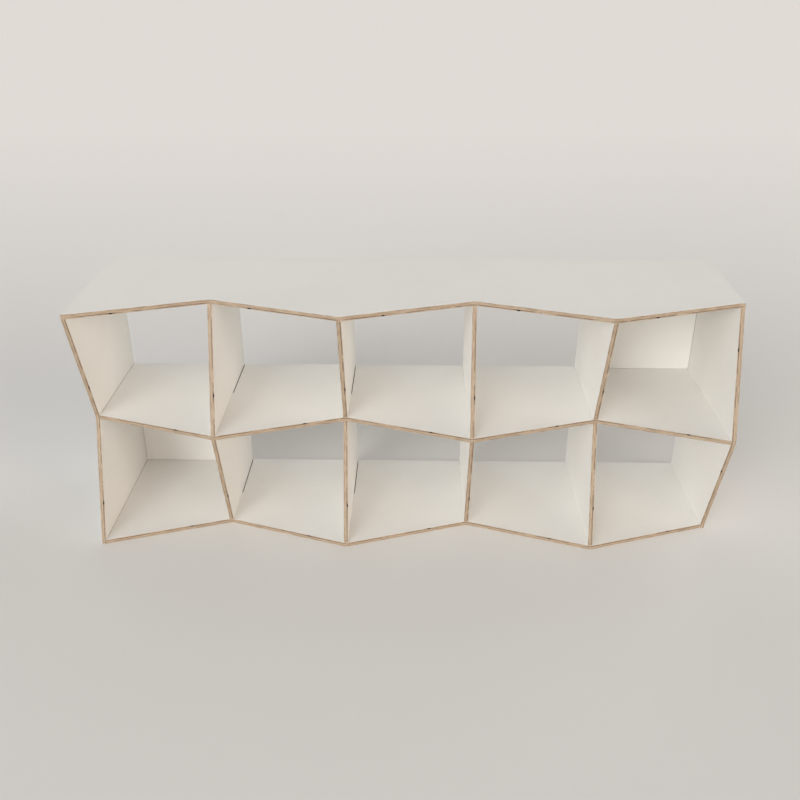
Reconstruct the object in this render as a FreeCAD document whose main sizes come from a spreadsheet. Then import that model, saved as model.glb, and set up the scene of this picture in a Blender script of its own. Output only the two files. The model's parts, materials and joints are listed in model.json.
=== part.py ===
"""Zigzag bookshelf of laminated plywood, five bays long and two rows high.

Three level boards and six uprights share one zigzag: along every board and up every upright the
front edge steps from deep to shallow and back. The middle and bottom boards pass through the four
dividers in cross laps, half the depth slotted in each. The end panels close the lower boards' ends,
the top board lies on all six uprights, and two bays have a back panel. Loose tongues hold the top
board, and dowels the other joints.

Millimetres. +X runs along the shelf, +Y towards its back and +Z up. The origin is on the floor,
under the middle of the shelf.
"""

import FreeCAD, Part
import os
import Sketcher

COLUMNS = 6             # uprights, numbered from 0 at the left end
LAST = COLUMNS - 1      # right-hand end panel
DIVIDERS = range(1, LAST)
BOTTOM, MIDDLE, TOP = range(3)      # boards, numbered from the floor
LAPPED_LEVELS = (BOTTOM, MIDDLE)    # boards that cross the dividers
DOWELS_PER_JOINT = 2

SIZES = {
    "bay_pitch": 330,           # upright to upright, centre to centre
    "row_pitch": 330,           # board to board, top face to top face
    "board_thickness": 12,
    "upright_thickness": 12,
    "depth_deep": 432,          # back edge to the flat of a peak
    "depth_shallow": 327,       # back edge to the flat of a valley
    "lap_depth": 190,           # slot in a board, from its back edge
    "lap_side_gap": 2.2,        # spare width of a board's slot, on the right of the divider
    "lap_face_gap": 0.2,        # spare height of a divider's slot, above the board
    "lap_end_gap": 0.5,         # between the ends of two crossing slots
    "butt_gap": 0.6,            # between the left-hand end panel and the boards beside it
    "panel_thickness": 12,      # back panels
    "panel_gap": 0.8,           # around a back panel in its bay
    "tongue_thickness": 4,
    "tongue_height": 18,
    "tongue_cover": 6,          # wood left over a groove in the top board
    "tongue_side_gap": 0.1,     # on each face of a tongue in its groove
    "tongue_end_gap": 0.5,      # past the ends and edges of a tongue
    "tongue_inset": 30,         # tongue from the front and back edges
    "dowel_diameter": 6,
    "dowel_length": 30,
    "dowel_chamfer": 0.8,
    "dowel_cover": 3.5,         # wood left under a hole in a face
    "dowel_side_gap": 0.1,      # around a dowel in its hole
    "dowel_end_gap": 0.5,       # past each end of a dowel
    "dowel_inset": 45,          # outer dowels from the ends of their joint
}

# Each driving size as it is written in an expression
PITCH = "Sizes.bay_pitch"
ROW = "Sizes.row_pitch"
BOARD = "Sizes.board_thickness"
UPRIGHT = "Sizes.upright_thickness"
DEEP = "Sizes.depth_deep"
SHALLOW = "Sizes.depth_shallow"
LAP_DEPTH = "Sizes.lap_depth"
LAP_SIDE_GAP = "Sizes.lap_side_gap"
LAP_FACE_GAP = "Sizes.lap_face_gap"
LAP_END_GAP = "Sizes.lap_end_gap"
BUTT_GAP = "Sizes.butt_gap"
PANEL = "Sizes.panel_thickness"
PANEL_GAP = "Sizes.panel_gap"
TONGUE = "Sizes.tongue_thickness"
TONGUE_HEIGHT = "Sizes.tongue_height"
TONGUE_COVER = "Sizes.tongue_cover"
TONGUE_SIDE_GAP = "Sizes.tongue_side_gap"
TONGUE_END_GAP = "Sizes.tongue_end_gap"
TONGUE_INSET = "Sizes.tongue_inset"
DOWEL = "Sizes.dowel_diameter"
DOWEL_LENGTH = "Sizes.dowel_length"
DOWEL_CHAMFER = "Sizes.dowel_chamfer"
DOWEL_COVER = "Sizes.dowel_cover"
DOWEL_SIDE_GAP = "Sizes.dowel_side_gap"
DOWEL_END_GAP = "Sizes.dowel_end_gap"
DOWEL_INSET = "Sizes.dowel_inset"

# Places worked out from the driving sizes
BACK = f"{DEEP} / 2"
DOWEL_HOLE = f"({DOWEL} + 2 * {DOWEL_SIDE_GAP})"
DOWEL_IN_FACE = f"({UPRIGHT} - {DOWEL_COVER} - {DOWEL_END_GAP})"
HOLE_IN_FACE = f"({UPRIGHT} - {DOWEL_COVER})"
HOLE_IN_EDGE = f"({DOWEL_LENGTH} - {DOWEL_IN_FACE} + {DOWEL_END_GAP})"
TONGUE_IN_BOARD = f"({BOARD} - {TONGUE_COVER} - {TONGUE_END_GAP})"
GROOVE_IN_BOARD = f"({BOARD} - {TONGUE_COVER})"
GROOVE_IN_UPRIGHT = f"({TONGUE_HEIGHT} - {TONGUE_IN_BOARD} + {TONGUE_END_GAP})"
BAY_WIDTH = f"({PITCH} - {UPRIGHT})"
BAY_HEIGHT = f"({ROW} - {BOARD})"

# Points of a sketch element, and the sketch's own origin
START, END, CENTRE = range(1, 4)
SKETCH_ORIGIN = (-1, START)
SKETCH_NORMAL = FreeCAD.Vector(0, 0, 1)


def column_x(column):
    """Middle plane of an upright."""
    return f"({column - (COLUMNS - 1) / 2} * {PITCH})"


def left_face(column):
    return f"({column_x(column)} - {UPRIGHT} / 2)"


def right_face(column):
    return f"({column_x(column)} + {UPRIGHT} / 2)"


def underside(level):
    return f"({level} * {ROW})"


def board_top(level):
    return f"({level} * {ROW} + {BOARD})"


def depth(column, level):
    """Depth of the zigzag where an upright meets a board: peaks and valleys alternate both ways."""
    return DEEP if (column + level) % 2 == 0 else SHALLOW


def spread_dowels(length):
    """Places of evenly spaced dowels along a joint, the outer ones inset from its ends."""
    shares = [number / (DOWELS_PER_JOINT - 1) for number in range(DOWELS_PER_JOINT)]
    return [f"({DOWEL_INSET} + ({length} - 2 * {DOWEL_INSET}) * {share})" for share in shares]


def dowels_at_board_end(column, level):
    """Centres of the dowels in the end of a board, as depth from the back and height in the board."""
    return [(f"-{place}", f"{BOARD} / 2") for place in spread_dowels(depth(column, level))]


def dowels_beside_panel():
    """Centres of the dowels in the side of a back panel, as depth and height over the board below."""
    panel_height = f"({BAY_HEIGHT} - 2 * {PANEL_GAP})"
    return [(f"-{PANEL} / 2", f"({PANEL_GAP} + {place})") for place in spread_dowels(panel_height)]


def tongue_corners(column, middle, side_gap="0", end_gap="0"):
    """Opposite corners of an upright's tongue seen from above, or of its groove with the gaps."""
    half = f"({TONGUE} / 2 + {side_gap})"
    front = f"-{depth(column, TOP)} + {TONGUE_INSET} - {end_gap}"
    back = f"-{TONGUE_INSET} + {end_gap}"
    return (f"{middle} - {half}", front), (f"{middle} + {half}", back)


def groove_corners(column, middle):
    return tongue_corners(column, middle, TONGUE_SIDE_GAP, TONGUE_END_GAP)


def evaluate(sketch, expression):
    return float(sketch.evalExpression(expression))


def add_sketch(body, name, plane, offset="0"):
    """Sketch on one of the body's own planes, moved along the plane's normal."""
    sketch = body.newObject("Sketcher::SketchObject", name)
    support = next(feature for feature in body.Origin.OriginFeatures if feature.Role == plane)
    sketch.AttachmentSupport = [(support, "")]
    sketch.MapMode = "FlatFace"
    sketch.setExpression("AttachmentOffset.Base.z", offset)
    return sketch


def dimension(sketch, kind, elements, expression):
    """Driving dimension of a sketch, bound to an expression of the sizes."""
    constraint = Sketcher.Constraint(kind, *elements, evaluate(sketch, expression))
    index = sketch.addConstraint(constraint)
    sketch.setExpression(f"Constraints[{index}]", expression)


def fix_point(sketch, element, point, place):
    """Dimension a point across and up from the sketch's origin."""
    for kind, expression in zip(("DistanceX", "DistanceY"), place):
        dimension(sketch, kind, (*SKETCH_ORIGIN, element, point), expression)


def draw_outline(sketch, corners):
    """Closed polygon through corners, each a pair of expressions."""
    points = [FreeCAD.Vector(*(evaluate(sketch, side) for side in corner)) for corner in corners]
    following = points[1:] + points[:1]
    lines = [sketch.addGeometry(Part.LineSegment(*ends)) for ends in zip(points, following)]
    for line, next_line in zip(lines, lines[1:] + lines[:1]):
        sketch.addConstraint(Sketcher.Constraint("Coincident", line, END, next_line, START))
    for line, corner in zip(lines, corners):
        fix_point(sketch, line, START, corner)


def draw_rectangle(sketch, low, high):
    draw_outline(sketch, [low, (high[0], low[1]), high, (low[0], high[1])])


def draw_circles(sketch, centres, diameter):
    for centre in centres:
        middle = FreeCAD.Vector(*(evaluate(sketch, side) for side in centre))
        circle = Part.Circle(middle, SKETCH_NORMAL, evaluate(sketch, diameter) / 2)
        element = sketch.addGeometry(circle)
        dimension(sketch, "Diameter", (element,), diameter)
        fix_point(sketch, element, CENTRE, centre)


def new_body(doc, label, place):
    """Body named after its piece, placed by three expressions."""
    body = doc.addObject("PartDesign::Body", label)
    body.Label = label
    for axis, expression in zip("xyz", place):
        body.setExpression(f"Placement.Base.{axis}", expression)
    return body


def add_pad(body, sketch, length, backwards=False):
    pad = body.newObject("PartDesign::Pad", "Pad")
    pad.Profile = sketch
    pad.Reversed = backwards
    pad.setExpression("Length", length)
    body.Document.recompute()
    return pad


def add_pocket(body, sketch, length, forwards=False):
    """Cut a sketch into the body against its normal, or along it, and make sure that it cuts."""
    volume_before = body.Shape.Volume
    pocket = body.newObject("PartDesign::Pocket", "Pocket")
    pocket.Profile = sketch
    pocket.Reversed = forwards
    pocket.setExpression("Length", length)
    body.Document.recompute()
    if body.Shape.Volume >= volume_before:
        raise ValueError(f"{body.Label}: {sketch.Label} cuts nothing")
    return pocket


def drill(body, name, plane, offset, centres, length, forwards=False):
    """Row of blind dowel holes."""
    sketch = add_sketch(body, name, plane, offset)
    draw_circles(sketch, centres, DOWEL_HOLE)
    add_pocket(body, sketch, length, forwards)


def zigzag_front(level):
    """Corners of a board's front edge from left to right, with a flat where each upright meets it."""
    return [
        (face(column), f"-{depth(column, level)}")
        for column in range(COLUMNS)
        for face in (left_face, right_face)
    ]


def pad_board(doc, label, level, front):
    """Board from its front edge back to a straight back edge at local y = 0, underside at z = 0."""
    body = new_body(doc, label, ("0", BACK, underside(level)))
    outline = add_sketch(body, "Outline", "XY_Plane")
    left, right = front[0][0], front[-1][0]
    draw_outline(outline, front + [(right, "0"), (left, "0")])
    add_pad(body, outline, BOARD)
    return body


def build_top_board(doc):
    """Board over all the uprights, out to the end panels' outer faces, grooved from below."""
    body = pad_board(doc, "top_board", TOP, zigzag_front(TOP))
    grooves = add_sketch(body, "Grooves", "XY_Plane")
    for column in range(COLUMNS):
        draw_rectangle(grooves, *groove_corners(column, column_x(column)))
    add_pocket(body, grooves, GROOVE_IN_BOARD, forwards=True)
    return body


def cut_board_laps(body):
    """Slots from the back edge, one for each divider, each open on the right by the side gap."""
    slot = add_sketch(body, "LapSlot", "XY_Plane")
    past_back_edge = BOARD
    low = (left_face(DIVIDERS[0]), f"-{LAP_DEPTH}")
    high = (f"{right_face(DIVIDERS[0])} + {LAP_SIDE_GAP}", past_back_edge)
    draw_rectangle(slot, low, high)
    pocket = add_pocket(body, slot, BOARD, forwards=True)
    row = body.newObject("PartDesign::LinearPattern", "LapSlots")
    row.Originals = [pocket]
    along = next(feature for feature in body.Origin.OriginFeatures if feature.Role == "X_Axis")
    row.Direction = (along, [""])
    row.Mode = "Spacing"
    row.setExpression("Offset", PITCH)
    row.Occurrences = len(DIVIDERS)
    body.Tip = row
    body.Document.recompute()


def build_lapped_board(doc, label, level):
    """Board between the end panels, slotted for the dividers and dowelled at both ends.

    It is seated against the right-hand end panel and stands a hair off the left-hand one.
    """
    left_end = f"{right_face(0)} + {BUTT_GAP}"
    left_corner = (left_end, f"-{depth(0, level)}")
    body = pad_board(doc, label, level, [left_corner] + zigzag_front(level)[2:-1])
    cut_board_laps(body)
    left_holes = dowels_at_board_end(0, level)
    right_holes = dowels_at_board_end(LAST, level)
    left_length = f"{HOLE_IN_EDGE} - {BUTT_GAP}"
    drill(body, "LeftHoles", "YZ_Plane", left_end, left_holes, left_length, forwards=True)
    drill(body, "RightHoles", "YZ_Plane", left_face(LAST), right_holes, HOLE_IN_EDGE)
    return body


def pad_upright(doc, label, column, face, rightwards):
    """Upright whose named face is local x = 0, with the wood to the right or left of that face.

    The front edge runs straight from board to board, with a short upright flat beside each board.
    """
    body = new_body(doc, label, (face(column), BACK, "0"))
    outline = add_sketch(body, "Outline", "YZ_Plane")
    front = []
    for level in LAPPED_LEVELS:
        front.append((f"-{depth(column, level)}", underside(level)))
        front.append((f"-{depth(column, level)}", board_top(level)))
    front.append((f"-{depth(column, TOP)}", underside(TOP)))
    draw_outline(outline, front + [("0", underside(TOP)), ("0", underside(BOTTOM))])
    add_pad(body, outline, UPRIGHT, backwards=not rightwards)
    middle = f"{UPRIGHT} / 2" if rightwards else f"-{UPRIGHT} / 2"
    groove = add_sketch(body, "Groove", "XY_Plane", underside(TOP))
    draw_rectangle(groove, *groove_corners(column, middle))
    add_pocket(body, groove, GROOVE_IN_UPRIGHT)
    return body


def cut_divider_laps(body, rightwards):
    """Slots from the front edge for the boards that cross the divider, the lowest open to the floor."""
    past_front_edge = f"-({DEEP} + {SHALLOW})"
    past_foot = f"-{BOARD}"
    slot_end = f"-{LAP_DEPTH} + {LAP_END_GAP}"
    for level in LAPPED_LEVELS:
        slot = add_sketch(body, f"LapSlot{level}", "YZ_Plane")
        slot_floor = past_foot if level == BOTTOM else underside(level)
        slot_roof = f"{board_top(level)} + {LAP_FACE_GAP}"
        draw_rectangle(slot, (past_front_edge, slot_floor), (slot_end, slot_roof))
        add_pocket(body, slot, UPRIGHT, forwards=rightwards)


def drill_for_boards(body, column, rightwards):
    """Dowel holes in an end panel's inner face for the ends of the lapped boards."""
    centres = [
        (across, f"{underside(level)} + {up}")
        for level in LAPPED_LEVELS
        for across, up in dowels_at_board_end(column, level)
    ]
    drill(body, "BoardHoles", "YZ_Plane", "0", centres, HOLE_IN_FACE, forwards=rightwards)


def drill_for_panel(body, level, rightwards):
    """Dowel holes in the face beside a back panel that stands on the board at this level."""
    centres = [(across, f"{board_top(level)} + {up}") for across, up in dowels_beside_panel()]
    drill(body, "PanelHoles", "YZ_Plane", "0", centres, HOLE_IN_FACE, forwards=rightwards)


def build_end_panel(doc, label, column, face, rightwards, panel_level):
    body = pad_upright(doc, label, column, face, rightwards)
    drill_for_boards(body, column, rightwards)
    drill_for_panel(body, panel_level, rightwards)
    return body


def build_divider(doc, column, face=left_face, rightwards=True, panel_level=None):
    body = pad_upright(doc, f"divider_{column}", column, face, rightwards)
    cut_divider_laps(body, rightwards)
    if panel_level is not None:
        drill_for_panel(body, panel_level, rightwards)
    return body


def build_back_panel(doc, label, column, level):
    """Panel in the bay to the right of an upright, flush with the back, dowelled at both sides."""
    body = new_body(doc, label, (right_face(column), BACK, board_top(level)))
    outline = add_sketch(body, "Outline", "XZ_Plane")
    right_side = f"{BAY_WIDTH} - {PANEL_GAP}"
    draw_rectangle(outline, (PANEL_GAP, PANEL_GAP), (right_side, f"{BAY_HEIGHT} - {PANEL_GAP}"))
    add_pad(body, outline, PANEL)
    length = f"{HOLE_IN_EDGE} - {PANEL_GAP}"
    centres = dowels_beside_panel()
    drill(body, "LeftHoles", "YZ_Plane", PANEL_GAP, centres, length, forwards=True)
    drill(body, "RightHoles", "YZ_Plane", right_side, centres, length)
    return body


def build_tongue(doc, label, column):
    """Loose tongue between an upright's top edge and the top board."""
    lower_edge = f"{underside(TOP)} + {TONGUE_IN_BOARD} - {TONGUE_HEIGHT}"
    body = new_body(doc, label, (column_x(column), BACK, lower_edge))
    outline = add_sketch(body, "Outline", "XY_Plane")
    draw_rectangle(outline, *tongue_corners(column, "0"))
    add_pad(body, outline, TONGUE_HEIGHT)
    return body


def build_dowels(doc, label, place, centres):
    """Row of dowels with chamfered ends, lying along the shelf."""
    body = new_body(doc, label, place)
    body.AllowCompound = True
    circles = add_sketch(body, "Circles", "YZ_Plane")
    draw_circles(circles, centres, DOWEL)
    pad = add_pad(body, circles, DOWEL_LENGTH)
    rims = [
        f"Edge{number}"
        for number, edge in enumerate(pad.Shape.Edges, start=1)
        if isinstance(edge.Curve, Part.Circle)
    ]
    chamfer = body.newObject("PartDesign::Chamfer", "Chamfer")
    chamfer.Base = (pad, rims)
    chamfer.setExpression("Size", DOWEL_CHAMFER)
    doc.recompute()
    return body


def dowel_start(column, right_hand):
    """Left end of a dowel that reaches into the right-hand or left-hand face of an upright."""
    if right_hand:
        return f"{right_face(column)} - {DOWEL_IN_FACE}"
    return f"{left_face(column)} + {DOWEL_IN_FACE} - {DOWEL_LENGTH}"


def build_board_dowels(doc, label, column, level, right_hand):
    """Dowels between an end panel and the end of a lapped board."""
    place = (dowel_start(column, right_hand), BACK, underside(level))
    return build_dowels(doc, label, place, dowels_at_board_end(column, level))


def build_panel_dowels(doc, label, column, level, right_hand):
    """Dowels between an upright and the side of a back panel."""
    place = (dowel_start(column, right_hand), BACK, board_top(level))
    return build_dowels(doc, label, place, dowels_beside_panel())


def build_plywood_pieces(doc):
    return [
        build_top_board(doc),
        build_lapped_board(doc, "middle_board", MIDDLE),
        build_lapped_board(doc, "bottom_board", BOTTOM),
        build_end_panel(doc, "left_end_panel", 0, right_face, False, BOTTOM),
        build_divider(doc, 1, panel_level=BOTTOM),
        build_divider(doc, 2),
        build_divider(doc, 3),
        build_divider(doc, 4, face=right_face, rightwards=False, panel_level=MIDDLE),
        build_end_panel(doc, "right_end_panel", LAST, left_face, True, MIDDLE),
        build_back_panel(doc, "lower_left_back_panel", 0, BOTTOM),
        build_back_panel(doc, "upper_right_back_panel", LAST - 1, MIDDLE),
    ]


def build_joinery(doc):
    uprights = ["left_end_panel", *(f"divider_{column}" for column in DIVIDERS), "right_end_panel"]
    pieces = [build_tongue(doc, f"{name}_tongue", column) for column, name in enumerate(uprights)]
    for name, level in (("middle_board", MIDDLE), ("bottom_board", BOTTOM)):
        pieces.append(build_board_dowels(doc, f"{name}_left_dowels", 0, level, True))
        pieces.append(build_board_dowels(doc, f"{name}_right_dowels", LAST, level, False))
    for name, column, level in (("lower_left", 0, BOTTOM), ("upper_right", LAST - 1, MIDDLE)):
        pieces.append(build_panel_dowels(doc, f"{name}_back_panel_left_dowels", column, level, True))
        pieces.append(build_panel_dowels(doc, f"{name}_back_panel_right_dowels", column + 1, level, False))
    return pieces


def add_sizes(doc):
    sheet = doc.addObject("Spreadsheet::Sheet", "Sizes")
    for row, (name, value) in enumerate(SIZES.items(), start=1):
        sheet.set(f"A{row}", str(value))
        sheet.setAlias(f"A{row}", name)
    doc.recompute()


def check(doc, pieces):
    """Stop if any feature failed or any piece has no sound solid."""
    for feature in doc.Objects:
        if "Invalid" in feature.State or "Error" in feature.State:
            raise ValueError(f"{feature.Name} failed: {feature.State}")
    for piece in pieces:
        if piece.Shape.isNull() or not piece.Shape.isValid() or not piece.Shape.Solids:
            raise ValueError(f"{piece.Label} has no sound solid")


def main():
    doc = FreeCAD.newDocument("ZigzagBookshelf")
    add_sizes(doc)
    pieces = build_plywood_pieces(doc) + build_joinery(doc)
    doc.recompute()
    check(doc, pieces)
    os.makedirs("parts", exist_ok=True)
    for piece in pieces:
        piece.Shape.exportStep(f"parts/{piece.Label}.step")
        box = piece.Shape.BoundBox
        extent = f"{box.XLength:.1f} x {box.YLength:.1f} x {box.ZLength:.1f}"
        print(f"{piece.Label}: {len(piece.Shape.Solids)} solids, {extent}")


main()
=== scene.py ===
import json
import math

import bmesh
import bpy
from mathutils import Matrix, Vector


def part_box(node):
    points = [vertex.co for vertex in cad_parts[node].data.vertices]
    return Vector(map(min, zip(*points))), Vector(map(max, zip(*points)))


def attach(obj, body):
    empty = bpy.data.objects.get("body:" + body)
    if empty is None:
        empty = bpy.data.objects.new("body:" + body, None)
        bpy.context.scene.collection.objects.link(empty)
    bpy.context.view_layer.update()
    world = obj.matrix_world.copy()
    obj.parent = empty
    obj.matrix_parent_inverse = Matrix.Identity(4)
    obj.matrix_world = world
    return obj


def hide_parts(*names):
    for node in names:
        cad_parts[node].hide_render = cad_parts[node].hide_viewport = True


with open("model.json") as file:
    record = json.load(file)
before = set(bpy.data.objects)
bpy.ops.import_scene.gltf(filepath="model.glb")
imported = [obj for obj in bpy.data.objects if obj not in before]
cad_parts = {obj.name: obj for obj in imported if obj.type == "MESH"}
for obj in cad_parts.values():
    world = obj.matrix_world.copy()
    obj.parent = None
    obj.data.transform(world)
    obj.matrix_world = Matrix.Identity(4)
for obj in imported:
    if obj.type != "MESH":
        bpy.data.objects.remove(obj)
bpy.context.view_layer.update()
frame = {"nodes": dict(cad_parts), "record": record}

# All lengths are in metres.
X, Y, Z = range(3)
UNIT = (Vector((1, 0, 0)), Vector((0, 1, 0)), Vector((0, 0, 1)))

# Plywood: birch veneers between two thin white sheets. A tone is a veneer's darkness. Veneers are counted
# from a board's underside, a back panel's front or an upright's right side, and the other way on turned
# panels.
VENEER_TONES = (0.1, 0.3, 0.4, 0.2, 0.3, 0.1, 0.4, 0.3, 0.8)
TONGUE_TONES = (0.2, 0.6, 0.2)
LAMINATE = 0.0001
FACE_GRAIN = {X: Z, Y: X, Z: X}
TURNED = ("middle_board", "bottom_board", "right_end_panel")

# Boards that cross the dividers and butt against the end panels. Behind them an upright's white sheet is
# left off and painted dark birch, beyond a share of its thickness from the left: painted shade in the joint
# gaps.
SHELVES = ("middle_board", "bottom_board")
SHADED_BOTH_SIDES = -1.0
SHADED_RIGHT_SIDE = 0.5

# Cut edges: sanded arrises, and a gap in the second veneer from one face on every long stretch
EASE = 0.0003
EASE_STEPS = 2
EASE_PROFILE = 0.5
SHORTEST_ARRIS = 0.001
SHARP = math.radians(30)
FLAT = math.radians(0.5)
WELD = 1e-6
PLAIN_CORNERS = 4
LONG_STRETCH = 0.2
GAP_PLACE = 0.31
GAP_VENEER = 2
GAP_HALF_LENGTH = 0.015
GAP_HALF_HEIGHT = 0.0017
GAP_DEPTH = 0.008

# The gap's outline: shares of its half length, and of its half height to one and to the other side
GAP_RIM = (
    (-1.0, 0.0, 0.0),
    (-0.62, 0.12, 0.06),
    (-0.35, 0.2, 0.35),
    (-0.27, 0.65, 0.6),
    (-0.15, 0.95, 0.8),
    (0.0, 1.05, 1.0),
    (0.15, 0.85, 1.05),
    (0.26, 0.6, 0.7),
    (0.33, 0.35, 0.2),
    (0.7, 0.14, 0.06),
    (1.0, 0.0, 0.0),
)

# Material slots of a dressed panel
LAMINATE_SLOT, EDGE_SLOT, ARRIS_SLOT, GAP_SLOT = range(4)

# Picture maps: for panels over a length, the map's width and a strip's height in pixels
MAP_NAME = "OFBake"
MAP_SIZES = ((1.0, 1024, 26), (0.5, 512, 18), (0.0, 256, 14))
STRIP_PIXELS_PER_METRE = 1000
SPECK_PIXELS = 3
SPACE_PIXELS = 1
SPECK_AREA = 45e-6
FACED = math.cos(math.radians(45))

# Camera
EYE = (0.0199, -2.2022, 1.4873)
PITCH = math.radians(27.564)
TURN = math.radians(1.106)
SENSOR = 36.0
LENS = 40.58


# Node trees

def feed(tree, node, inputs):
    """Sets a node's inputs, each to a plain value or to the socket that feeds it."""
    for name, value in inputs.items():
        if isinstance(value, bpy.types.NodeSocket):
            tree.links.new(value, node.inputs[name])
        else:
            node.inputs[name].default_value = value


def make(tree, kind, inputs, **settings):
    """Adds a node with its settings and inputs."""
    made = tree.nodes.new(kind)
    for name, value in settings.items():
        setattr(made, name, value)
    feed(tree, made, inputs)
    return made


def maths(tree, operation, first, second=0.0, third=0.0):
    made = make(tree, "ShaderNodeMath", {0: first, 1: second, 2: third}, operation=operation)
    return made.outputs[0]


def mix_value(tree, share, first, second):
    return make(tree, "ShaderNodeMix", {0: share, 2: first, 3: second}).outputs[0]


def mix_vector(tree, share, first, second):
    return make(tree, "ShaderNodeMix", {0: share, 4: first, 5: second}, data_type="VECTOR").outputs[1]


def mix_colour(tree, share, first, second):
    return make(tree, "ShaderNodeMix", {0: share, 6: first, 7: second}, data_type="RGBA").outputs[2]


def ramp(tree, value, limits, ends=(0.0, 1.0)):
    """Maps the two limits to the two ends, with a soft start and stop."""
    sockets = {0: value, 1: limits[0], 2: limits[1], 3: ends[0], 4: ends[1]}
    return make(tree, "ShaderNodeMapRange", sockets, interpolation_type="SMOOTHSTEP").outputs[0]


def noise(tree, place, pattern):
    """A noise pattern's value at a place."""
    scale, detail, roughness = pattern
    sockets = {"Vector": place, "Scale": scale, "Detail": detail, "Roughness": roughness}
    return make(tree, "ShaderNodeTexNoise", sockets).outputs["Fac"]


def axes(tree, vector):
    """The three outputs of a vector."""
    return make(tree, "ShaderNodeSeparateXYZ", {0: vector}).outputs


def scaled(tree, vector, scale):
    return make(tree, "ShaderNodeVectorMath", {0: vector, 1: scale}, operation="MULTIPLY").outputs[0]


def stretched(scales, axis):
    """A scale for each axis: the first of two along one axis, the second along the others."""
    along, others = scales
    return tuple(along if each == axis else others for each in (X, Y, Z))


def steps(tree, value, levels):
    """Turns equal steps of 0..1 into the given levels."""
    made = make(tree, "ShaderNodeValToRGB", {0: value})
    bar = made.color_ramp
    bar.interpolation = "CONSTANT"
    bar.elements.remove(bar.elements[1])
    for number, level in enumerate(levels):
        stop = bar.elements.new(number / len(levels)) if number else bar.elements[0]
        stop.position = number / len(levels)
        stop.color = colour(level, level, level)
    return made.outputs["Color"]


def inside(tree, value, low, high):
    """1 between low and high, 0 elsewhere."""
    off = maths(tree, "ABSOLUTE", maths(tree, "SUBTRACT", value, (low + high) / 2))
    return maths(tree, "LESS_THAN", off, (high - low) / 2)


def to_end(tree, share):
    """How far a share is from the nearer of 0 and 1."""
    return maths(tree, "MINIMUM", share, maths(tree, "SUBTRACT", 1.0, share))


def relief(tree, height, strength, depth):
    """A surface's way, tilted by fine heights."""
    sockets = {"Height": height, "Strength": strength, "Distance": depth}
    return make(tree, "ShaderNodeBump", sockets).outputs[0]


def colour(red, green, blue):
    return (red, green, blue, 1.0)


def new_material(name):
    """Returns a material, its node tree, its surface shader and its coordinates."""
    material = bpy.data.materials.new(name)
    material.use_nodes = True
    tree = material.node_tree
    tree.nodes.clear()
    surface = make(tree, "ShaderNodeBsdfPrincipled", {})
    make(tree, "ShaderNodeOutputMaterial", {"Surface": surface.outputs[0]})
    return material, tree, surface, make(tree, "ShaderNodeTexCoord", {}).outputs


# Finishes

WHITE = colour(0.90, 0.88, 0.84)
WHITE_CLOUDED = colour(0.88, 0.857, 0.812)
BIRCH_PALE = colour(0.605, 0.485, 0.355)
BIRCH_TAN = colour(0.405, 0.30, 0.204)
# Dark birch: the veneers' own dark tones and end grain, and also painted shade in the uprights' joint gaps
BIRCH_DARK_AND_GAP_SHADE = colour(0.235, 0.155, 0.095)
GLUE_BROWN = colour(0.165, 0.105, 0.065)
SEAM_BROWN = colour(0.11, 0.07, 0.045)
# Near black for the inside of the veneer gaps: painted shade, where the wood itself is birch
GAP_SHADE_BROWN = colour(0.03, 0.018, 0.010)
GAP_SHADE_BLACK = colour(0.010, 0.006, 0.003)
BEECH_PALE = colour(0.66, 0.45, 0.29)
BEECH_FLECK = colour(0.44, 0.26, 0.15)

# Noise patterns: scale, detail and roughness
CLOUDS = (5.0, 4.0, 0.5)
PEARL = (1400.0, 2.0, 0.5)
RUBBED = (22.0, 5.0, 0.6)
FIBRE = (1.0, 6.0, 0.62)
PORES = (1.7, 2.0, 0.5)
STREAK = (1.0, 4.0, 0.6)
SEAM = (1.0, 4.0, 0.65)
TORN = (700.0, 4.0, 0.5)
FLECK = (1.0, 5.0, 0.6)

# Stretched patterns: the scale along one axis and the scale along the others
FIBRE_SCALES = (28.0, 1500.0)
STREAK_SCALES = (420.0, 34.0)
SEAM_SCALES = (0.0, 13.0)
FLECK_SCALES = (40.0, 900.0)

# The values between which a pattern fades in
MOST_NOISE = (0.3, 0.7)
CLOUD_FADE = (0.35, 0.7)
FIBRE_FADE = (0.3, 0.72)
PORE_FADE = (0.60, 0.74)
STREAK_FADE = (0.40, 0.64)
SEAM_FADE = (0.43, 0.50)
FLECK_FADE = (0.35, 0.7)
END_GRAIN_FADE = (0.35, 0.9)

# Glue lines at the joints of the veneers, and a dark seam near the second joint, all in veneers. The trim
# keeps the far face in the last veneer.
GLUE_HALF = 0.07
SEAM_LAYER = 2.1
SEAM_CORE = 0.45
SEAM_HALF = 0.85
LAST_LAYER_TRIM = 0.001

# How strongly a trait shows on cut plywood
FIBRE_SHARE = 0.4
STREAK_SHARE = 0.6
END_GRAIN_SHARE = 0.4
TONE_STREAKED = 0.8
TONE_EVEN = 0.1
PORE_SHARE = 0.3
GLUE_SHARE = 0.7
SEAM_SHARE = 0.85

# Roughness and gloss, and relief as strength and depth
SHEET_ROUGHNESS = (0.60, 0.72)
SHEET_GLOSS = 0.4
SHEET_RELIEF = (0.2, 0.00004)
WOOD_ROUGHNESS = (0.42, 0.56)
END_GRAIN_ROUGHER = 0.14
WOOD_RELIEF = (0.5, 0.00012)
PORE_DIP = 0.6
GLUE_DIP = 0.5
GAP_ROUGHNESS = 0.9
GAP_GLOSS = 0.1
BEECH_ROUGHNESS = (0.5, 0.65)
BEECH_RELIEF = (0.4, 0.0001)


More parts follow.
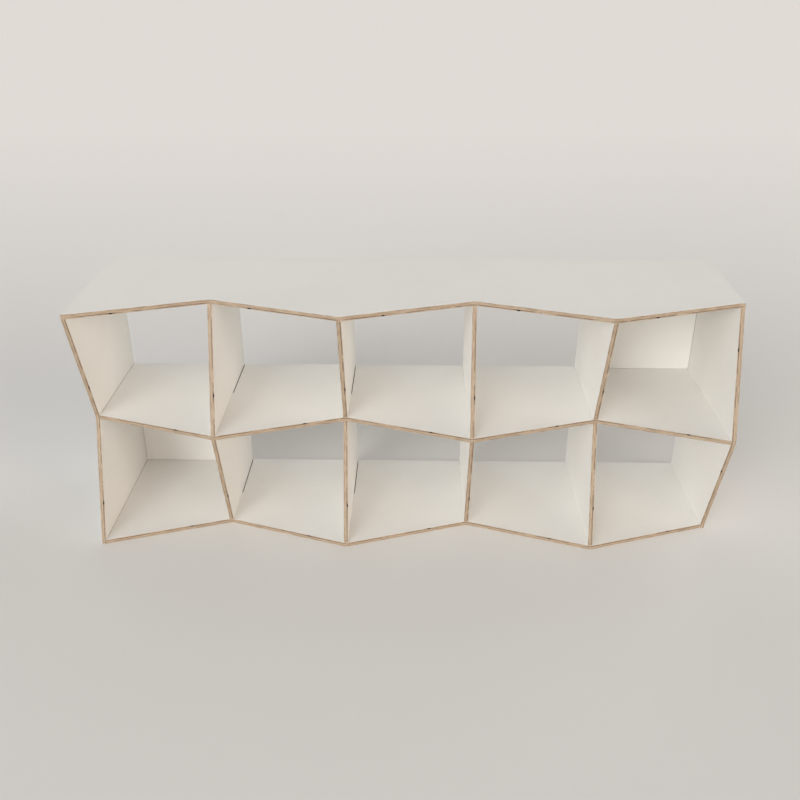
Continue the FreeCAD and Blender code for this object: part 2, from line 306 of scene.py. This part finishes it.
def white_laminate(name, shaded_heights=(), shaded_beyond=SHADED_BOTH_SIDES):
    """Matt white sheet, pearl textured and faintly clouded; painted dark at the given heights as shade in
    joint gaps.
    """
    material, tree, surface, place = new_material(name)
    clouds = ramp(tree, noise(tree, place["Object"], CLOUDS), CLOUD_FADE)
    shade = mix_colour(tree, clouds, WHITE, WHITE_CLOUDED)
    height = axes(tree, place["Object"])[Z]
    on_side = maths(tree, "GREATER_THAN", axes(tree, place["Generated"])[X], shaded_beyond)
    # Painted shade: where the boards pass, the upright's face turns dark birch, seen only in the joints'
    # open gaps
    for low, high in shaded_heights:
        bare = maths(tree, "MULTIPLY", on_side, inside(tree, height, low, high))
        shade = mix_colour(tree, bare, shade, BIRCH_DARK_AND_GAP_SHADE)
    feed(tree, surface, {
        "Base Color": shade,
        "Roughness": ramp(tree, noise(tree, place["Object"], RUBBED), MOST_NOISE, SHEET_ROUGHNESS),
        "Specular IOR Level": SHEET_GLOSS,
        "Normal": relief(tree, noise(tree, place["Object"], PEARL), *SHEET_RELIEF),
    })
    return material


def fibres(tree, place, crossed, grains):
    """Fibres along each veneer's own grain, and the pores among them."""
    scales = [stretched(FIBRE_SCALES, grain) for grain in grains]
    drawn = scaled(tree, place, mix_vector(tree, crossed, *scales))
    pores = ramp(tree, noise(tree, drawn, PORES), PORE_FADE)
    return noise(tree, drawn, FIBRE), pores


def end_grain(tree, crossed, grains):
    """1 where a veneer's grain ends at the cut, 0 where it runs along the cut."""
    facing = axes(tree, make(tree, "ShaderNodeNewGeometry", {}).outputs["Normal"])
    ends = [maths(tree, "ABSOLUTE", facing[grain]) for grain in grains]
    return ramp(tree, mix_value(tree, crossed, *ends), END_GRAIN_FADE)


def streaks(tree, place, across):
    """Darker streaks that stay within a veneer."""
    drawn = scaled(tree, place, stretched(STREAK_SCALES, across))
    return ramp(tree, noise(tree, drawn, STREAK), STREAK_FADE)


def glue_lines(tree, layer):
    """Strong at the joints of the veneers, 0 elsewhere."""
    return ramp(tree, to_end(tree, maths(tree, "FRACT", layer)), (0.0, GLUE_HALF), (GLUE_SHARE, 0.0))


def dark_seam(tree, place, layer, across):
    """A seam between veneers that comes and goes along the cut."""
    drawn = scaled(tree, place, stretched(SEAM_SCALES, across))
    run = ramp(tree, noise(tree, drawn, SEAM), SEAM_FADE)
    off = maths(tree, "ABSOLUTE", maths(tree, "SUBTRACT", layer, SEAM_LAYER))
    return maths(tree, "MULTIPLY", run, ramp(tree, off, (SEAM_CORE, SEAM_HALF), (SEAM_SHARE, 0.0)))


def plywood(name, across, tones, skin, from_high):
    """Cut plywood: veneers with crossed grain, stacked along one axis. Each white sheet's share is skin."""
    material, tree, surface, place = new_material(name)
    face_grain = FACE_GRAIN[across]
    grains = (face_grain, X + Y + Z - across - face_grain)
    height = axes(tree, place["Generated"])[across]
    if from_high:
        height = maths(tree, "SUBTRACT", 1.0, height)
    core = make(tree, "ShaderNodeMapRange", {0: height, 1: skin, 2: 1.0 - skin}).outputs[0]
    layer = maths(tree, "MULTIPLY", core, len(tones) - LAST_LAYER_TRIM)
    crossed = maths(tree, "MODULO", maths(tree, "FLOOR", layer), len(grains))
    fibre, pores = fibres(tree, place["Object"], crossed, grains)
    ends = end_grain(tree, crossed, grains)
    streak = streaks(tree, place["Object"], across)
    glue = glue_lines(tree, layer)
    seam = dark_seam(tree, place["Object"], layer, across)

    figure = maths(tree, "MULTIPLY", ramp(tree, fibre, FIBRE_FADE), FIBRE_SHARE)
    figure = maths(tree, "MULTIPLY_ADD", streak, STREAK_SHARE, figure)
    tone_shown = maths(tree, "MULTIPLY_ADD", streak, TONE_STREAKED, TONE_EVEN)
    tone = maths(tree, "MULTIPLY", steps(tree, core, tones), tone_shown)
    wood = mix_colour(tree, figure, BIRCH_PALE, BIRCH_TAN)
    wood = mix_colour(tree, maths(tree, "MULTIPLY", ends, END_GRAIN_SHARE), wood, BIRCH_DARK_AND_GAP_SHADE)
    wood = mix_colour(tree, tone, wood, BIRCH_DARK_AND_GAP_SHADE)
    wood = mix_colour(tree, maths(tree, "MULTIPLY", pores, PORE_SHARE), wood, GLUE_BROWN)
    wood = mix_colour(tree, glue, wood, GLUE_BROWN)
    wood = mix_colour(tree, seam, wood, SEAM_BROWN)
    on_sheet = maths(tree, "LESS_THAN", to_end(tree, height), skin)
    wood = mix_colour(tree, on_sheet, wood, WHITE_CLOUDED)

    dull = ramp(tree, fibre, MOST_NOISE, WOOD_ROUGHNESS)
    rise = maths(tree, "SUBTRACT", fibre, maths(tree, "MULTIPLY", pores, PORE_DIP))
    rise = maths(tree, "SUBTRACT", rise, maths(tree, "MULTIPLY", glue, GLUE_DIP))
    feed(tree, surface, {
        "Base Color": wood,
        "Roughness": maths(tree, "MULTIPLY_ADD", ends, END_GRAIN_ROUGHER, dull),
        "Normal": relief(tree, rise, *WOOD_RELIEF),
    })
    return material


def shaded_torn_gap():
    """The inside of a gap in a veneer, painted near black: painted shade in the hollow."""
    material, tree, surface, place = new_material("shaded_torn_gap")
    feed(tree, surface, {
        "Base Color": mix_colour(tree, noise(tree, place["Object"], TORN), GAP_SHADE_BLACK, GAP_SHADE_BROWN),
        "Roughness": GAP_ROUGHNESS,
        "Specular IOR Level": GAP_GLOSS,
    })
    return material


def turned_beech():
    """Dowel beech: fine flecks drawn out along the dowel."""
    material, tree, surface, place = new_material("turned_beech")
    fleck = noise(tree, scaled(tree, place["Object"], stretched(FLECK_SCALES, X)), FLECK)
    feed(tree, surface, {
        "Base Color": mix_colour(tree, ramp(tree, fleck, FLECK_FADE), BEECH_PALE, BEECH_FLECK),
        "Roughness": ramp(tree, fleck, MOST_NOISE, BEECH_ROUGHNESS),
        "Normal": relief(tree, fleck, *BEECH_RELIEF),
    })
    return material


# Measures of faces

def reach(faces, way):
    """The least and the greatest place of faces along a way."""
    places = [vert.co.dot(way) for face in faces for vert in face.verts]
    return min(places), max(places)


def span(faces, way):
    """How far faces go along a way."""
    low, high = reach(faces, way)
    return high - low


# Picture maps

def flat_patches(faces):
    """Joins faces that meet in one plane into patches."""
    left = {face.index: face for face in faces}
    patches = []
    while left:
        patch = [left.pop(next(iter(left)))]
        for face in patch:
            beside = [other for edge in face.edges for other in edge.link_faces if other.index in left]
            for other in beside:
                if other.index in left and other.normal.angle(face.normal, math.pi) < FLAT:
                    patch.append(left.pop(other.index))
        patches.append(patch)
    return patches


def patch_beside(arris, patch_of, otherwise):
    """The patch that shares an arris's longest edge."""
    shared = []
    for edge in arris.edges:
        beside = [face.index for face in edge.link_faces if face.index in patch_of]
        shared += [(edge.calc_length(), index) for index in beside]
    return patch_of[max(shared)[1]] if shared else otherwise


def sorted_faces(form, across):
    """A panel's two white sides, its flat cut stretches with their arrises, and its specks."""
    sides = ([], [])
    cut = []
    arrises = []
    specks = []
    for face in form.faces:
        facing = face.normal[across]
        if face.material_index in (LAMINATE_SLOT, ARRIS_SLOT) and abs(facing) > FACED:
            sides[facing > 0].append(face)
        elif face.material_index == ARRIS_SLOT:
            arrises.append(face)
        elif face.material_index == EDGE_SLOT and face.calc_area() > SPECK_AREA:
            cut.append(face)
        else:
            specks.append(face)
    stretches = flat_patches(cut)
    patch_of = {face.index: patch for patch in stretches for face in patch}
    for arris in arrises:
        patch_beside(arris, patch_of, specks).append(arris)
    return sides, stretches, specks


def own_ways(faces):
    """The way of a flat patch's longest edge, and the way across it."""
    longest = max((edge for face in faces for edge in face.edges), key=lambda edge: edge.calc_length())
    along = (longest.verts[1].co - longest.verts[0].co).normalized()
    return along, faces[0].normal.cross(along)


def lay(faces, layer, ways, corner, size):
    """Spreads faces over a rectangle of the map, seen along the third way."""
    for number, way in enumerate(ways):
        low, high = reach(faces, way)
        for loop in [loop for face in faces for loop in face.loops]:
            share = (loop.vert.co.dot(way) - low) / max(high - low, WELD)
            loop[layer].uv[number] = corner[number] + size[number] * share


def map_boxes(stretches, specks, pixels, strip_high):
    """Boxes in pixels with their faces and ways: strips for the stretches, long ones first, then specks."""
    boxes = []
    for faces in stretches:
        ways = own_ways(faces)
        strip_long = min(span(faces, ways[0]) * STRIP_PIXELS_PER_METRE, pixels)
        boxes.append((strip_long, strip_high, faces, ways))
    boxes.sort(key=lambda box: -box[0])
    for face in specks:
        boxes.append((SPECK_PIXELS, SPECK_PIXELS, [face], own_ways([face])))
    return boxes


def lay_rows(boxes, layer, pixels):
    """Lays boxes side by side in rows and returns the share of the map that they fill."""
    right = 0
    top = 0
    row_high = boxes[0][1]
    for wide, high, faces, ways in boxes:
        if right + wide > pixels or high != row_high:
            right = 0
            top += row_high + SPACE_PIXELS
            row_high = high
        lay(faces, layer, ways, (right / pixels, top / pixels), (wide / pixels, high / pixels))
        right += wide + SPACE_PIXELS
    return (top + row_high + SPACE_PIXELS) / pixels


def map_panel(mesh, across):
    """Gives each cut stretch a tall strip of the panel's picture map, so that thin veneers stay clear."""
    form = bmesh.new()
    form.from_mesh(mesh)
    layer = form.loops.layers.uv.new(MAP_NAME)
    sides, stretches, specks = sorted_faces(form, across)
    side_ways = [UNIT[axis] for axis in (X, Y, Z) if axis != across]
    side_ways.sort(key=lambda way: span(form.faces, way), reverse=True)
    length = span(form.faces, side_ways[0])
    pixels, strip_high = next((wide, high) for least, wide, high in MAP_SIZES if length > least)
    top = lay_rows(map_boxes(stretches, specks, pixels, strip_high), layer, pixels)
    share = (1.0 - top) / len(sides)
    for number, faces in enumerate(sides):
        lay(faces, layer, side_ways, (0.0, top + number * share), (1.0, share))
    form.to_mesh(mesh)
    form.free()


# Panels

def new_object(name, form, finishes):
    """Turns a form into an object of the scene."""
    mesh = bpy.data.meshes.new(name)
    form.to_mesh(mesh)
    form.free()
    for finish in finishes:
        mesh.materials.append(finish)
    made = bpy.data.objects.new(name, mesh)
    bpy.context.scene.collection.objects.link(made)
    return made


def thickness_axis(node):
    """The axis that a panel is thinnest along."""
    low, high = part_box(node)
    return min((X, Y, Z), key=lambda axis: high[axis] - low[axis])


def panel_form(node, across):
    """A panel's solid with its white sides and its cuts told apart."""
    low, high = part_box(node)
    form = bmesh.new()
    form.from_mesh(frame["nodes"][node].data)
    bmesh.ops.remove_doubles(form, verts=form.verts, dist=WELD)
    bmesh.ops.dissolve_limit(form, angle_limit=FLAT, verts=form.verts, edges=form.edges)
    for face in form.faces:
        face.smooth = False
        at = face.calc_center_median()[across]
        faced = min(at - low[across], high[across] - at) < WELD
        face.material_index = LAMINATE_SLOT if faced else EDGE_SLOT
    return form


def long_stretches(form, across, thick):
    """Each long outer cut without holes, to the front, back or side: its middle, run and outward way."""
    found = []
    for face in form.faces:
        level = abs(face.normal.z) > math.cos(SHARP)
        plain = len(face.verts) == PLAIN_CORNERS
        full = span([face], UNIT[across]) > thick - WELD
        if level or not plain or not full:
            continue
        run = face.normal.cross(UNIT[across]).normalized()
        if run.dot(UNIT[FACE_GRAIN[across]]) < 0:
            run = -run
        length = span([face], run)
        if length > LONG_STRETCH:
            found.append((face.calc_center_median(), run * length, face.normal.copy()))
    return found


def add_spindle(form, middle, run, side, inward):
    """Adds a torn, pointed prism: the hollow that a gap leaves in a veneer."""
    upper = [(share, rise) for share, rise, fall in GAP_RIM]
    lower = [(share, -fall) for share, rise, fall in reversed(GAP_RIM[1:-1])]
    rim = []
    for share, rise in upper + lower:
        rim.append(middle + run * (share * GAP_HALF_LENGTH) + side * (rise * GAP_HALF_HEIGHT))
    outer = [form.verts.new(point - inward * GAP_DEPTH) for point in rim]
    inner = [form.verts.new(point + inward * GAP_DEPTH) for point in rim]
    form.faces.new(outer)
    form.faces.new(reversed(inner))
    for first in range(len(rim)):
        after = (first + 1) % len(rim)
        form.faces.new((outer[first], inner[first], inner[after], outer[after]))


def gap_cutter(node, stretches, thick):
    """One form of all the gaps of a panel."""
    cutter = bmesh.new()
    veneer = (thick - 2 * LAMINATE) / len(VENEER_TONES)
    from_face = LAMINATE + (GAP_VENEER - 0.5) * veneer
    for middle, run, outward in stretches:
        way = -run if node in TURNED else run
        side = outward.cross(way).normalized()
        start = middle - way / 2 - side * (thick / 2)
        place = start + way * GAP_PLACE + side * from_face
        add_spindle(cutter, place, way.normalized(), side, -outward)
    bmesh.ops.recalc_face_normals(cutter, faces=cutter.faces)
    for face in cutter.faces:
        face.material_index = GAP_SLOT
    return cutter


def eased(edge):
    """True for a sharp outer arris, but not for the short edges round a dowel hole."""
    return (
        edge.is_manifold
        and edge.calc_face_angle_signed() > SHARP
        and edge.calc_length() > SHORTEST_ARRIS
    )


def ease_arrises(form):
    """Rounds the outer arrises a little, as sanding does."""
    arrises = [edge for edge in form.edges if eased(edge)]
    bmesh.ops.bevel(
        form, geom=arrises, offset=EASE, offset_type="OFFSET", segments=EASE_STEPS, profile=EASE_PROFILE,
        affect="EDGES", clamp_overlap=True, material=ARRIS_SLOT,
    )


def cut_out(piece, cutter):
    """Takes a cutter's form out of a piece's mesh, and deletes the cutter."""
    cut = piece.modifiers.new("gaps", "BOOLEAN")
    cut.object = cutter
    cut.operation = "DIFFERENCE"
    cut.solver = "EXACT"
    graph = bpy.context.evaluated_depsgraph_get()
    whole = bpy.data.meshes.new_from_object(piece.evaluated_get(graph))
    piece.modifiers.clear()
    piece.data = whole
    bpy.data.objects.remove(cutter)


def dress_panel(node, finishes):
    """Puts a panel with eased arrises, veneer gaps and a picture map in its solid's place."""
    across = thickness_axis(node)
    low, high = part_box(node)
    thick = high[across] - low[across]
    form = panel_form(node, across)
    stretches = long_stretches(form, across, thick)
    ease_arrises(form)
    piece = new_object(node + "_laminated", form, finishes)
    cut_out(piece, new_object(node + "_gaps", gap_cutter(node, stretches, thick), finishes))
    map_panel(piece.data, across)
    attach(piece, "root")
    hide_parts(node)


def edge_finishes():
    """Cut plywood for each thickness axis, plain and turned."""
    low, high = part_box("top_board")
    skin = LAMINATE / (high.z - low.z)
    edges = {}
    for axis in (X, Y, Z):
        for turned in (False, True):
            name = "plywood_edge_" + "xyz"[axis] + ("_turned" if turned else "")
            edges[axis, turned] = plywood(name, axis, VENEER_TONES, skin, turned != (axis == X))
    return edges


def dress_all():
    """Panels get new surfaces, and the hidden joinery keeps its solids with better materials."""
    shelf_heights = [(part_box(shelf)[0].z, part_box(shelf)[1].z) for shelf in SHELVES]
    laminate = white_laminate("white_laminate")
    # Uprights painted dark at the shelf heights: painted shade in the joint gaps
    lapped_laminate = white_laminate("lapped_laminate", shelf_heights, SHADED_BOTH_SIDES)
    butted_laminate = white_laminate("butted_laminate", shelf_heights, SHADED_RIGHT_SIDE)
    edges = edge_finishes()
    gap = shaded_torn_gap()
    tongue = plywood("tongue_plywood", X, TONGUE_TONES, 0.0, False)
    beech = turned_beech()
    for part in frame["record"]["subparts"]:
        node = part["node"]
        if part["material_slot"] == "bare_plywood":
            frame["nodes"][node].material_slots[0].material = tongue
        elif part["material_slot"] != "laminated_plywood":
            frame["nodes"][node].material_slots[0].material = beech
        else:
            edge = edges[thickness_axis(node), node in TURNED]
            if node.startswith("divider"):
                face = lapped_laminate
            elif node == "left_end_panel":
                face = butted_laminate
            else:
                face = laminate
            dress_panel(node, (face, edge, edge, gap))


# Room

# Floor colours near and far, the far one paler as painted light, and a painted glow that the camera and
# reflections see
FLOOR_NEAR = colour(0.855, 0.838, 0.808)
FLOOR_FAR = colour(0.895, 0.868, 0.838)
FLOOR_GLOW = colour(0.11, 0.097, 0.09)
BACKDROP = colour(0.72, 0.68, 0.65)

# The floor, and the places from front to back between which its colour and its glow fade: painted light that
# makes the floor paler towards the back
FLOOR_HALF = 40.0
FLOOR_BELOW = 0.0002
FLOOR_FADE = (-1.0, 3.0)
GLOW_FADE = (0.0, 6.0)
FLOOR_ROUGHNESS = 1.0
FLOOR_GLOSS = 0.0

# Lamp tints, and kinds of lamp as degrees above the floor and degrees wide
NEUTRAL = (1.0, 1.0, 0.99)
COOL = (0.95, 0.98, 1.0)
WARM = (1.0, 0.92, 0.86)
AMBER = (1.0, 0.78, 0.60)
LOW = (5, 50)
SLANT = (18, 30)
HIGH = (35, 50)
WIDE = (20, 120)

# Lamps: name, degrees from the front to the right, kind, strength and tint
LAMPS = (
    ("left_light", -100, LOW, 0.15, COOL),
    ("right_front_light", 30, LOW, 0.40, AMBER),
    ("right_light", 65, LOW, 0.50, AMBER),
    ("left_slant_light", -50, SLANT, 0.35, COOL),
    ("left_front_light", -25, SLANT, 1.10, NEUTRAL),
    ("right_slant_light", 50, SLANT, 0.65, WARM),
    ("high_left_back_light", -150, HIGH, 0.25, NEUTRAL),
    ("high_left_light", -40, HIGH, 0.35, COOL),
    ("high_front_light", 0, HIGH, 0.45, NEUTRAL),
    ("high_right_back_light", 120, HIGH, 0.55, NEUTRAL),
    ("wide_left_light", -50, WIDE, 0.60, COOL),
    ("wide_back_light", 180, WIDE, 0.60, NEUTRAL),
)


def seen(tree):
    """1 where a ray comes from the camera, straight or by way of a reflection or glass."""
    path = make(tree, "ShaderNodeLightPath", {}).outputs
    mirrored = maths(tree, "MAXIMUM", path["Is Glossy Ray"], path["Is Transmission Ray"])
    return maths(tree, "MAXIMUM", path["Is Camera Ray"], mirrored)


def pale_floor():
    """A matt floor that fades into a pale backdrop through painted light: a paler colour and a painted glow
    towards the back.
    """
    material, tree, surface, place = new_material("pale_floor")
    back = axes(tree, place["Object"])[Y]
    feed(tree, surface, {
        "Base Color": mix_colour(tree, ramp(tree, back, FLOOR_FADE), FLOOR_NEAR, FLOOR_FAR),
        "Emission Color": FLOOR_GLOW,
        "Emission Strength": maths(tree, "MULTIPLY", seen(tree), ramp(tree, back, GLOW_FADE)),
        "Roughness": FLOOR_ROUGHNESS,
        "Specular IOR Level": FLOOR_GLOSS,
    })
    return material


def lay_floor():
    form = bmesh.new()
    corners = ((-1, -1), (1, -1), (1, 1), (-1, 1))
    form.faces.new([form.verts.new((x * FLOOR_HALF, y * FLOOR_HALF, -FLOOR_BELOW)) for x, y in corners])
    new_object("floor", form, (pale_floor(),))


def soft_sun(name, turn, kind, strength, tint):
    """A soft light from far off."""
    rise, width = kind
    data = bpy.data.lights.new(name, "SUN")
    data.angle = math.radians(width)
    data.energy = strength
    data.color = tint
    made = bpy.data.objects.new(name, data)
    made.rotation_euler = (math.pi / 2 - math.radians(rise), 0.0, math.radians(turn))
    bpy.context.scene.collection.objects.link(made)


def light_room():
    world = bpy.data.worlds.new("pale_room")
    world.use_nodes = True
    tree = world.node_tree
    feed(tree, tree.nodes["Background"], {"Color": BACKDROP, "Strength": seen(tree)})
    bpy.context.scene.world = world
    for lamp in LAMPS:
        soft_sun(*lamp)


def set_camera():
    data = bpy.data.cameras.new("camera")
    data.sensor_width = SENSOR
    data.lens = LENS
    camera = bpy.data.objects.new("camera", data)
    camera.location = EYE
    camera.rotation_euler = (math.pi / 2 - PITCH, 0.0, TURN)
    bpy.context.scene.collection.objects.link(camera)
    bpy.context.scene.camera = camera


dress_all()
lay_floor()
light_room()
set_camera()
bpy.context.scene.view_settings.view_transform = "Standard"
